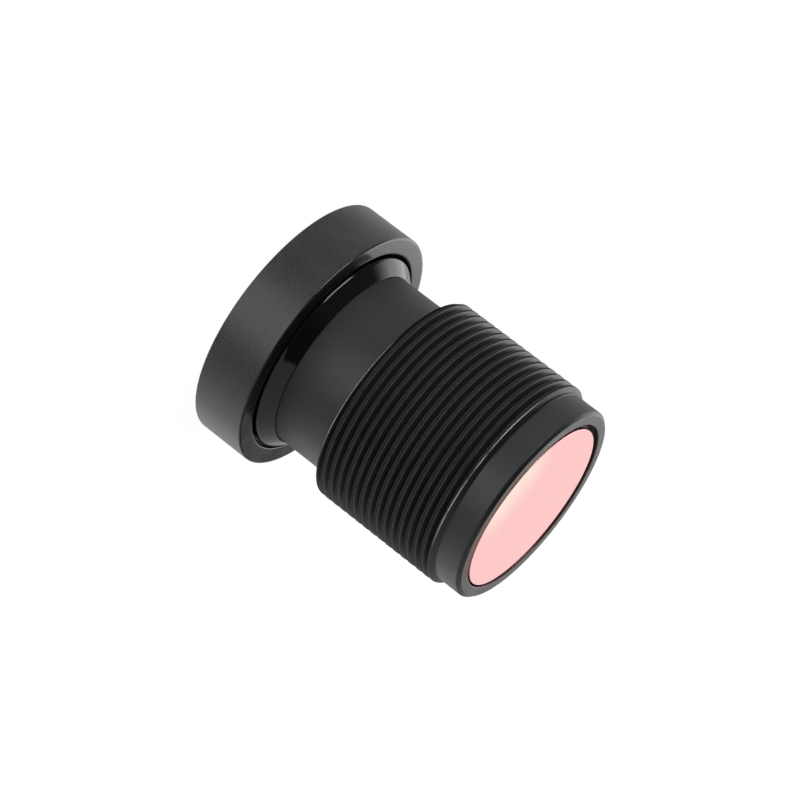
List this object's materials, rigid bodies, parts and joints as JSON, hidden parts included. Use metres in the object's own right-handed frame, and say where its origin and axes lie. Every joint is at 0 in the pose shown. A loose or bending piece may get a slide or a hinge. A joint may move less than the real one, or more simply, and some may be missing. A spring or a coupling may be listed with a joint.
{
  "type": "board camera lens",
  "caption": "Small screw-in lens with a fine-threaded metal barrel, a wider head with a sealing ring behind it, and an infrared-cut filter over its rear end.",
  "frame": {"origin": "centre of the head's front rim, on which the lens stands", "axes": "+Z along the optical axis to the rear end with the filter, X and Y across it"},
  "size_m": [0.014, 0.014, 0.0164],
  "materials": {
    "blasted_black": "fine-blasted black anodised aluminium",
    "turned_black": "turned black anodised aluminium",
    "inner_black": "matt black anodised aluminium, turned",
    "seal_rubber": "glossy black moulded elastomer",
    "cord_rubber": "matt black elastomer",
    "coated_glass": "polished, anti-reflection coated",
    "filter_glass": "infrared-cut coating that reflects pink",
    "stop_steel": "blackened steel sheet",
    "film": "black polyester film",
    "adhesive": "cured black adhesive"
  },
  "bodies": {
    "root": {"head": "blasted_black", "barrel": "turned_black", "seal_ring": "seal_rubber", "front_retaining_ring": "inner_black", "front_o_ring": "cord_rubber", "element_1": "coated_glass", "baffle_1": "film", "element_2": "coated_glass", "spacer_1": "inner_black", "aperture_stop": "stop_steel", "spacer_2": "inner_black", "element_3": "coated_glass", "baffle_2": "film", "element_4": "coated_glass", "element_5": "coated_glass", "spacer_3": "inner_black", "element_6": "coated_glass", "baffle_3": "film", "rear_retaining_ring": "inner_black", "ir_filter": "filter_glass", "filter_adhesive": "adhesive"}
  },
  "joints": []
}
